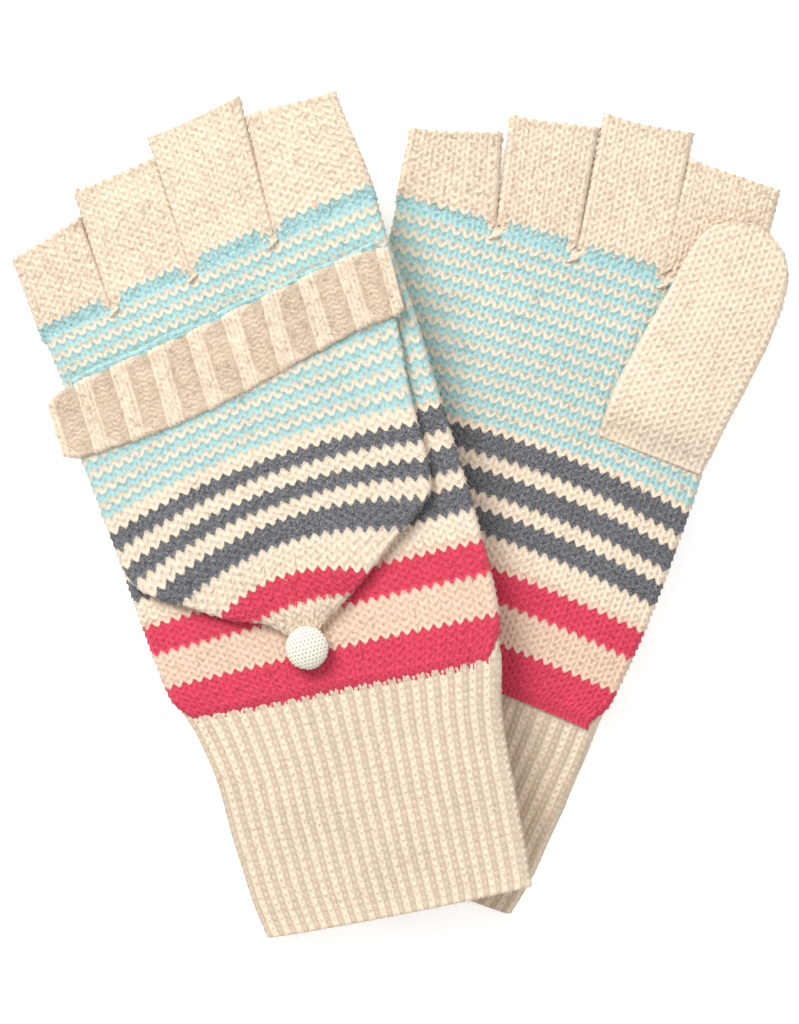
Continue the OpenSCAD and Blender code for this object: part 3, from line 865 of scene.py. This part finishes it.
def finger_grid(glove, name):
    """Open tube of a finger, which carries on the hand's courses."""
    base, base_w, tip, tip_w, slope = FINGERS[glove.side][name]
    base, tip = np.array(base), np.array(tip)
    run = tip - base
    length = np.linalg.norm(run)
    d = run / length
    n = np.array([d[1], -d[0]])
    per = stitch_height()
    courses = length / per
    wales = int(round(tip_w / stitch_width()))
    rows, inset, outside = open_rows(course_rows(0, courses), per, 1.3, 9)
    station = ring(wales * 8, 7, wales * 4)
    v = rows / courses
    c = np.clip(v, 0, 1)
    width = base_w + (tip_w - base_w) * along(((0, 0), (0.5, 0.35), (1, 1)), c)
    width = width + 0.5 * np.exp(-(((v - 1) * length / 2.2) ** 2))
    end = math.tan(math.radians(slope)) + d[0] / d[1]
    start = KNUCKLE_LINE[glove.side][1] + d[0] / d[1]
    rise = start + (end - start) * c
    centre = base + v[:, None] * run
    half = width[:, None] / 2
    left = centre - half * (n + d * rise[:, None])
    right = centre + half * (n + d * rise[:, None])
    thick = core(FINGER_T) + 0.5 * np.exp(-(((v - 1) * length / 1.5) ** 2))
    thick -= 1.3 * np.clip(1 - rows / 2.2, 0, 1)
    grid, around = flat_tube(inset, left, right, thick, np.zeros(len(v)), -0.5 * c, station, glove.up)
    around = around * (wales * stitch_width() / (np.linalg.norm(right - left, axis=1) - thick))[:, None]
    lower = follow_legs(grid[:outside], around[:outside], rows[:outside], stitch_width(), False, True)
    course = np.concatenate([lower[2], np.repeat(rows[outside:, None], grid.shape[1], 1)])
    grid, around = np.concatenate([lower[0], grid[outside:]]), np.concatenate([lower[1], around[outside:]])
    grid = widen(glove, grid)
    across = ((grid[..., 0] - centre[:, :1]) / (width[:, None] / 2)).clip(-1, 1)
    clear = np.clip((grid[..., 1] - 190) / 8, 0, 1)
    puff = 0.55 * (1 - across**2) * np.clip((1.05 - v) * 3, 0, 1)[:, None] * clear
    grid[..., 2] += puff * np.sign(grid[..., 2])
    seed = 31 + len(name) * 3 + glove.mirrored
    grid[..., 2] += 0.3 * wander(seed, grid[..., 0] / 9, grid[..., 1] / 9) * c[:, None] * clear
    # the bound-off edge stands in small scallops, one to a wale
    lip = np.exp(-(((v - 1) * length / 1.3) ** 2))[:, None] * (v > 0.5)[:, None]
    grid[..., 1] += 0.28 * lip * np.cos(2 * math.pi * around / stitch_width())
    grid[..., 1] += 0.5 * wander(seed + 5, grid[..., 0] / 6, grid[..., 0] / 9) * c[:, None] ** 3
    knuckle = KNUCKLE_LINE[glove.side]
    first = HAND_COURSES + round((base[1] - knuckle[0] - knuckle[1] * base[0]) / per)
    fork = np.full(grid.shape[:2], 0.0)
    for x in FORKS[glove.side]:
        fork += np.exp(-(((grid[..., 0] - x) / 2.6) ** 2))
    return grid, around, course + first, outside, HAND_COURSES - 0.5 - 1.7 * fork


def thumb_grid(glove):
    """Closed tube of a thumb, round at its tip and thin where it joins the hand."""
    turn = math.radians(25 if glove.side == "left" else 0)
    per = stitch_height()
    length = 67.0
    rows = course_rows(0, length / per)
    y = rows * per
    # middle and half width by distance from the base
    middle = along(((0, 35.6), (4, 36), (14, 37), (24, 39), (34, 41), (44, 42.8), (54, 43.8), (67, 44.2)), y)
    half = along(((0, 14.8), (4, 15.3), (14, 15.9), (24, 15.9), (34, 15.7), (44, 15.2), (54, 14.3),
                  (59, 13.0), (62, 11.3), (64, 9.2), (65.5, 6.8), (66.5, 4.0), (67, 1.6)), y)
    tilt = np.radians(along(((0, -4), (12, -5), (40, -7), (67, -4)), y))
    left = np.stack([middle - half * np.cos(tilt) - THUMB_BASE[0], y - half * np.sin(tilt)], 1)
    right = np.stack([middle + half * np.cos(tilt) - THUMB_BASE[0], y + half * np.sin(tilt)], 1)
    c, s = math.cos(turn), math.sin(turn)
    spin = np.array([[c, s], [-s, c]])
    left, right = left @ spin + THUMB_BASE[:2], right @ spin + THUMB_BASE[:2]
    round_off = np.sqrt(np.clip(1 - (np.clip(y - 59, 0, None) / 8.3) ** 2, 0.03, 1))
    thick = core(THUMB_T) * round_off - 2.3 * np.exp(-((y / 5.5) ** 2))
    height = np.full(len(y), THUMB_BASE[2]) + 2.2 * np.exp(-((y / 6.5) ** 2))
    bow = 1.5 * np.clip((y - 50) / 15, 0, 1)
    station = ring(80, 8, 40)
    grid, around = flat_tube(np.zeros(len(y)), left, right, thick, height, bow, station, glove.up)
    grid, around, course = follow_legs(grid, around, rows, stitch_width(), True, True)
    across = around / 15.0
    top = np.clip(1 - across**2, 0, 1) * np.clip(1.2 - np.abs(across), 0, 1)
    puff = 0.5 * top * np.clip(y / 12, 0, 1)[:, None] * round_off[:, None]
    grid[..., 2] += glove.up * puff
    grid[..., 2] += 0.2 * wander(51 + glove.mirrored, grid[..., 0] / 12, grid[..., 1] / 12)
    return grid, around, course


# Height of a cap's course at the middle, and how far it sags at the sides and rises to the thumb side.
CAP_SAG = ((77, 0.2), (81, 0.5), (85.5, 1.5), (93.5, 5.7), (101, 6.6), (107, 7.8), (113, 7.0), (124, 5.0),
           (135, 3.0), (145, 1.0), (166, 0.2))
CAP_RISE = ((77, 0.0), (93, 0.0), (101, 0.03), (113, 0.05), (124, 0.05), (140, 0.09), (166, 0.114))
CAP_SIDES = (((77, -4.8), (80, -7.6), (82.5, -10), (86.3, -19), (89.5, -24.2), (92.6, -28.8), (96, -34.2),
              (98.7, -38), (102, -41.2), (106, -42.8), (113, -43.8), (130, -45), (150, -46.4), (168, -47)),
             ((77, 2.2), (80, 7), (83.5, 13), (87.2, 19), (91, 24.4), (94.5, 29.4), (98, 35), (100.8, 39),
              (104, 42), (108, 43.2), (113, 43.8), (130, 44.4), (150, 46.4), (172, 47)))


def cap_grid(glove):
    """Flat closed tube of a cap, from its blunt end up to the seam; courses are counted from that end."""
    rows = course_rows(-0.7, (163.6 - CAP_TIP) / CAP_COURSE)
    top = CAP_TIP + rows * CAP_COURSE
    sag, rise = along(CAP_SAG, top), along(CAP_RISE, top)
    level = top - sag
    reach = np.interp(level, [77, 85, 102], [6, 16, 42])
    yl, yr = level - reach * rise, level + reach * rise
    left = np.stack([along(CAP_SIDES[0], yl), yl], 1)
    right = np.stack([along(CAP_SIDES[1], yr), yr], 1)
    s = top - top[0]
    thick = core(CAP_T) * np.sqrt(np.clip(s / 4 + 0.1, 0, 1))
    height = np.full(len(s), CAP_LOW + CAP_T / 2)
    wales = int(round(93 / stitch_width()))
    dense = wales * (8 if glove.up > 0 else 4)
    station = ring(dense, 6, wales * 2)
    grid, around = flat_tube(np.zeros(len(s)), left, right, thick, height, sag, station, 1)
    width = np.linalg.norm(right - left, axis=1)
    around = around * (93 / width)[:, None] ** 0.15
    grid, around, course = follow_legs(grid, around, rows, stitch_width(), True, True)
    grid = widen(glove, grid)
    pillow = 0.35 * np.clip(1 - (grid[..., 0] / 44) ** 2, 0, 1) * (grid[..., 2] > CAP_LOW + CAP_T / 2)
    grid[..., 2] += pillow * np.clip(s / 6, 0, 1)[:, None] * np.clip((150 - grid[..., 1]) / 5, 0, 1)
    grid[..., 2] += 0.1 * wander(61 + glove.mirrored, grid[..., 0] / 14, grid[..., 1] / 14)
    return grid, around, course


def band_grid(glove):
    """Band across a cap's mouth, counted in panels along it."""
    per = stitch_height()
    v = np.linspace(0, 1, knit().panels * 46 + 1)
    x = -49.3 + v * 98.6
    edge_top = ((-49.3, 156.6), (-46, 158.3), (-30, 160.6), (-10, 162.8), (20, 167), (45, 169.6),
                (49.3, 168.4))
    edge_low = ((-49.3, 142), (-46, 140.3), (-20, 140.8), (0, 143.4), (20, 147.4), (40, 151), (47, 151.2),
                (49.3, 152.4))
    near = np.stack([x + 0.3 * np.sin(v * 21), along(edge_top, x) + 0.2 * np.sin(v * 57)], 1)
    far = np.stack([x + 0.4 * np.sin(v * 17), along(edge_low, x) + 0.22 * np.sin(v * 57 + 1)], 1)
    round_end = np.sqrt(np.clip(1 - (np.clip(np.abs(x) - 47.6, 0, 1.7) / 1.8) ** 2, 0.05, 1))
    thick = (BAND_T - 0.65) * round_end
    height = np.full(len(v), BAND_LOW + BAND_T / 2 - 0.24)
    station = ring(84, 6, 16)
    grid, around = flat_tube(np.zeros(len(v)), far, near, thick, height, np.zeros(len(v)), station, 1)
    grid = widen(glove, grid)
    wale = np.repeat((v * knit().panels + 0.28)[:, None], grid.shape[1], 1)
    depth = np.linalg.norm(near - far, axis=1)[:, None]
    rim = np.abs(np.abs(around) - depth / 2 + 1.2)
    # panels narrow to a round end before they reach either rolled edge
    w = wale - np.floor(wale)
    closing = np.clip((depth / 2 - 1.0 - np.abs(around)) / 2.4, 0, 1)
    closing = np.where(np.abs(around) < depth / 2, np.sqrt(closing), 0)
    squeeze = 0.73 + (w - 0.73) / np.clip(closing, 0.2, 1)
    wale = np.where(w > 0.46, np.floor(wale) + np.clip(squeeze, 0.44, 0.9999), wale)
    roll = np.exp(-((rim / 1.3) ** 2)) * (np.abs(around) < depth / 2 + 1)
    grid[..., 2] += 0.12 * roll
    return grid, wale, around / per + 50


def braid_grid(glove):
    """Raised chain of yarn along the line the cap hangs from."""
    pitch = 2.6
    rows = course_rows(0, 89.0 / pitch)
    x = -44.5 + rows * pitch
    c, s = math.cos(KNUCKLE_TILT), math.sin(KNUCKLE_TILT)
    angle = np.linspace(0, 2 * math.pi, 40, endpoint=False)
    tall, wide = 1.62, 1.25
    end = np.sqrt(np.clip(np.minimum(x + 44.7, 44.7 - x) / 1.2, 0.05, 1))[:, None]
    across = wide * np.cos(angle) * end
    up = 3.75 + tall * np.sin(angle) * end
    across = across + 0.25 * np.sin(x * 0.31)[:, None]
    grid = np.stack([SEAM[0] + x[:, None] * c - across * s, SEAM[1] + x[:, None] * s + across * c, up], 2)
    wale = np.repeat(((angle + math.pi / 2) / (2 * math.pi) * 2 + 0.5)[None], len(rows), 0)
    return widen(glove, grid), wale, np.repeat(rows[:, None], len(angle), 1)


# ---------------------------------------------------------------- operators

class GLOVES_OT_cuffs(Operator):
    """Knit the ribbed cuffs"""

    bl_idname = "gloves.cuffs"
    bl_label = "Cuffs"

    def execute(self, context):
        for glove in gloves():
            grid, around, course, outside = cuff_grid(glove)
            obj, cloth = knit_piece(f"{glove.side}_cuff_rib", glove, grid, around, course, rib_relief,
                                    1.4 * relief(), rib_material(), outside=outside)
            finish_piece(obj, glove.body(), "cream_rib", f"{glove.side}_cuff")
            fuzz_piece(f"{glove.side}_cuff_fuzz", cloth, 10000, 5 + glove.mirrored, glove.body(),
                       rib_material())
        return {"FINISHED"}


class GLOVES_OT_hands(Operator):
    """Knit the striped hands of both gloves"""

    bl_idname = "gloves.hands"
    bl_label = "Hands"

    def execute(self, context):
        for glove in gloves():
            grid, around, course, edge = hand_grid(glove)
            obj, cloth = knit_piece(f"{glove.side}_hand_knit", glove, grid, around, course, legs, relief(),
                                    hand_material(), stitch_width(), edge=edge)
            finish_piece(obj, glove.body(), "striped_knit", f"{glove.side}_hand")
            fuzz_piece(f"{glove.side}_hand_fuzz", cloth, 18000, 15 + glove.mirrored, glove.body(),
                       hand_material())
        return {"FINISHED"}


class GLOVES_OT_fingers(Operator):
    """Knit the open finger tubes and the yarn that closes the forks between them"""

    bl_idname = "gloves.fingers"
    bl_label = "Fingers"

    def execute(self, context):
        for glove in gloves():
            for name in FINGERS[glove.side]:
                grid, around, course, outside, edge = finger_grid(glove, name)
                obj, cloth = knit_piece(f"{glove.side}_{name}_finger_knit", glove, grid, around, course, legs,
                                        relief(), hand_material(), stitch_width(), edge=edge,
                                        outside=outside)
                finish_piece(obj, glove.body(), "cream_knit", f"{glove.side}_{name}_finger")
                fuzz_piece(f"{glove.side}_{name}_finger_fuzz", cloth, 4500, 25 + len(name), glove.body(),
                           hand_material())
            slope = KNUCKLE_LINE[glove.side]
            for k, x in enumerate(FORKS[glove.side]):
                y = slope[0] + slope[1] * x - 3.5
                path = [(x - 1.5, y - 0.8, 0.9), (x - 1.1, y - 0.6, 1.7), (x - 0.2, y, 2.15),
                        (x + 0.8, y + 0.6, 1.8), (x + 1.3, y + 1.0, 0.9)]
                path = [(a, b, glove.up * c) for a, b, c in path]
                knot = cord_piece(f"{glove.side}_fork_stitch_{k + 1}", glove, path, 0.45, cord_material())
                finish_piece(knot, glove.body(), "cream_yarn", f"{glove.side}_fork_stitches")
        return {"FINISHED"}


class GLOVES_OT_thumbs(Operator):
    """Knit the closed thumbs"""

    bl_idname = "gloves.thumbs"
    bl_label = "Thumbs"

    def execute(self, context):
        for glove in gloves():
            grid, around, course = thumb_grid(glove)
            obj, cloth = knit_piece(f"{glove.side}_thumb_knit", glove, grid, around, course, legs, relief(),
                                    cream_material(), stitch_width(), close_first=True, close_last=True)
            finish_piece(obj, glove.body("thumb"), "cream_knit", f"{glove.side}_thumb")
            fuzz_piece(f"{glove.side}_thumb_fuzz", cloth, 5000, 35 + glove.mirrored, glove.body("thumb"),
                       cream_material())
        return {"FINISHED"}


class GLOVES_OT_caps(Operator):
    """Knit the striped mitten caps, their bands and the raised seams they hang from"""

    bl_idname = "gloves.caps"
    bl_label = "Caps"

    def execute(self, context):
        for glove in gloves():
            grid, around, course = cap_grid(glove)
            obj, cloth = knit_piece(f"{glove.side}_cap_knit", glove, grid, around, course, legs, relief(),
                                    cap_material(), stitch_width(), close_first=True, close_last=True, up=1)
            finish_piece(obj, glove.body("cap"), "striped_knit", f"{glove.side}_cap")
            fuzz_piece(f"{glove.side}_cap_fuzz", cloth, 14000, 45 + glove.mirrored, glove.body("cap"),
                       cap_material())

            grid, wale, course = band_grid(glove)
            obj, cloth = knit_piece(f"{glove.side}_cap_band_rib", glove, grid, wale, course, band_relief,
                                    1.1 * relief(), rib_material(), close_first=True, close_last=True, up=1)
            finish_piece(obj, glove.body("cap"), "cream_rib", f"{glove.side}_cap_band")
            fuzz_piece(f"{glove.side}_cap_band_fuzz", cloth, 4000, 55 + glove.mirrored, glove.body("cap"),
                       rib_material())

            grid, wale, course = braid_grid(glove)
            obj, cloth = knit_piece(f"{glove.side}_cap_seam_braid", glove, grid, wale, course, legs, 0.5,
                                    braid_material(), close_first=True, close_last=True, up=1)
            finish_piece(obj, glove.body(), "aqua_yarn", f"{glove.side}_cap_seam")
            fuzz_piece(f"{glove.side}_cap_seam_fuzz", cloth, 1500, 65 + glove.mirrored, glove.body(),
                       braid_material())
        return {"FINISHED"}


class GLOVES_OT_buttons(Operator):
    """Make the covered buttons, their shanks and the loops that hold the caps down"""

    bl_idname = "gloves.buttons"
    bl_label = "Buttons"

    def execute(self, context):
        x, y = BUTTON
        for glove in gloves():
            low = HEAD_LOW
            cover = [(0.05, low + 4.42)]
            cover += [(6.0 * math.sin(a), low + 1.5 + 2.95 * math.cos(a)) for a in np.linspace(0.03, 1.5, 96)]
            cover += [(6.02, low + 1.3), (5.98, low + 0.9), (5.75, low + 0.45), (5.3, low + 0.18)]
            cover += [(4.9, low + 0.25), (4.85, low + 0.9), (4.8, low + 1.3)]
            cover += [(5.0 * math.sin(a), low + 1.3 + 2.2 * math.cos(a)) for a in np.linspace(1.3, 0.01, 14)]
            head = lathe_piece(f"{glove.side}_button_cover_knit", glove, BUTTON, cover, button_material(),
                               280, 0.3)
            finish_piece(head, glove.body("button"), "button_skin", f"{glove.side}_button_cover")

            mould = [(0.05, low + 1.0), (4.4, low + 1.0), (4.6, low + 1.2)]
            mould += [(4.7 * math.sin(a), low + 1.2 + 1.9 * math.cos(a)) for a in np.linspace(1.5, 0.01, 14)]
            core = lathe_piece(f"{glove.side}_button_mould", glove, BUTTON, mould[::-1], mould_material())
            finish_piece(core, glove.body("button"), "button_mould", f"{glove.side}_button_core")

            plate = [(0.05, low + 0.85), (4.5, low + 0.85), (4.7, low + 0.6), (4.6, low + 0.25),
                     (4.2, low + 0.1), (1.9, low + 0.1), (1.6, low - 0.05), (0.05, low - 0.05)]
            back = lathe_piece(f"{glove.side}_button_plate", glove, BUTTON, plate, button_material())
            finish_piece(back, glove.body("button"), "button_skin", f"{glove.side}_button_back")

            post = [(0.05, low - 0.1), (0.8, low - 0.15), (1.05, low - 0.4), (0.95, low - 1.0), (1.05, 2.3),
                    (1.3, 1.95), (0.05, 1.9)]
            shank = lathe_piece(f"{glove.side}_button_thread", glove, BUTTON, post, mould_material(), 24)
            finish_piece(shank, glove.body(), "sewing_thread", f"{glove.side}_button_shank")

            z = 3.05
            turn = np.linspace(-0.15 * math.pi, 1.15 * math.pi, 12)
            around = [(x + 2.4 * math.cos(a), y - 2.4 * math.sin(a), z) for a in turn]
            path = [(x + 1.3, CAP_TIP + 3.2, z + 0.5), (x + 1.5, CAP_TIP, z + 0.1)] + around
            path += [(x - 1.5, CAP_TIP, z + 0.1), (x - 1.3, CAP_TIP + 3.2, z + 0.5)]
            loop = cord_piece(f"{glove.side}_button_loop_cord", glove, path, 0.6, cord_material())
            finish_piece(loop, glove.body("cap"), "cream_yarn", f"{glove.side}_button_loop")
        return {"FINISHED"}


class GLOVES_OT_stage(Operator):
    """Set the floor, the lights and the camera"""

    bl_idname = "gloves.stage"
    bl_label = "Stage"

    def execute(self, context):
        scene = context.scene
        size = 3.0
        floor_mat = bpy.data.materials.new("Pale floor")
        floor_mat.use_nodes = True
        bsdf = floor_mat.node_tree.nodes["Principled BSDF"]
        bsdf.inputs["Base Color"].default_value = (0.98, 0.98, 0.98, 1)
        bsdf.inputs["Roughness"].default_value = 0.9
        bsdf.inputs["Emission Color"].default_value = (1, 1, 1, 1)
        bsdf.inputs["Emission Strength"].default_value = 0.4
        corners = [(-size, -size, 0), (size, -size, 0), (size, size, 0), (-size, size, 0)]
        mesh = bpy.data.meshes.new("floor")
        mesh.from_pydata(corners, [], [(0, 1, 2, 3)])
        mesh.materials.append(floor_mat)
        floor = bpy.data.objects.new("floor", mesh)
        scene.collection.objects.link(floor)

        world = bpy.data.worlds.new("Studio")
        world.use_nodes = True
        world.node_tree.nodes["Background"].inputs["Color"].default_value = (1, 1, 1, 1)
        world.node_tree.nodes["Background"].inputs["Strength"].default_value = 0.54
        scene.world = world
        lamps = (("Key", (-0.7, 0.85, 1.05), 21.0, 0.8), ("Fill", (0.9, 0.2, 1.5), 5.0, 1.2))
        for name, place, power, width in lamps:
            light = bpy.data.lights.new(name, "AREA")
            light.energy, light.size = power, width
            lamp = bpy.data.objects.new(name, light)
            lamp.location = place
            lamp.rotation_mode = "QUATERNION"
            lamp.rotation_quaternion = (-Vector(place)).to_track_quat("-Z", "Y")
            scene.collection.objects.link(lamp)

        camera = bpy.data.cameras.new("Camera")
        camera.lens, camera.sensor_width = 135, 36
        camera.clip_end = 20
        rig = bpy.data.objects.new("Camera", camera)
        rig.location = (-0.00105, 0.0024, 0.010 + 0.2744 * camera.lens / camera.sensor_width)
        scene.collection.objects.link(rig)
        scene.camera = rig
        scene.view_settings.view_transform = "Standard"
        return {"FINISHED"}


class GLOVES_PT_panel(Panel):
    """Lists the pieces and their settings"""

    bl_idname = "GLOVES_PT_panel"
    bl_label = "Gloves"
    bl_space_type = "VIEW_3D"
    bl_region_type = "UI"
    bl_category = "Gloves"

    def draw(self, context):
        layout = self.layout
        for settings in (context.scene.glove_knit, context.scene.glove_yarn):
            box = layout.box()
            for key in settings.__annotations__:
                box.prop(settings, key)
        for operator in OPERATORS:
            layout.operator(operator.bl_idname)


OPERATORS = (
    GLOVES_OT_cuffs, GLOVES_OT_hands, GLOVES_OT_fingers, GLOVES_OT_thumbs, GLOVES_OT_caps, GLOVES_OT_buttons,
    GLOVES_OT_stage,
)
CLASSES = (KnitSettings, YarnSettings, *OPERATORS, GLOVES_PT_panel)


def register():
    for cls in CLASSES:
        bpy.utils.register_class(cls)
    bpy.types.Scene.glove_knit = PointerProperty(type=KnitSettings)
    bpy.types.Scene.glove_yarn = PointerProperty(type=YarnSettings)


def unregister():
    del bpy.types.Scene.glove_knit, bpy.types.Scene.glove_yarn
    for cls in reversed(CLASSES):
        bpy.utils.unregister_class(cls)


def main():
    register()
    for operator in OPERATORS:
        group, name = operator.bl_idname.split(".")
        getattr(getattr(bpy.ops, group), name)()


if __name__ == "__main__":
    main()
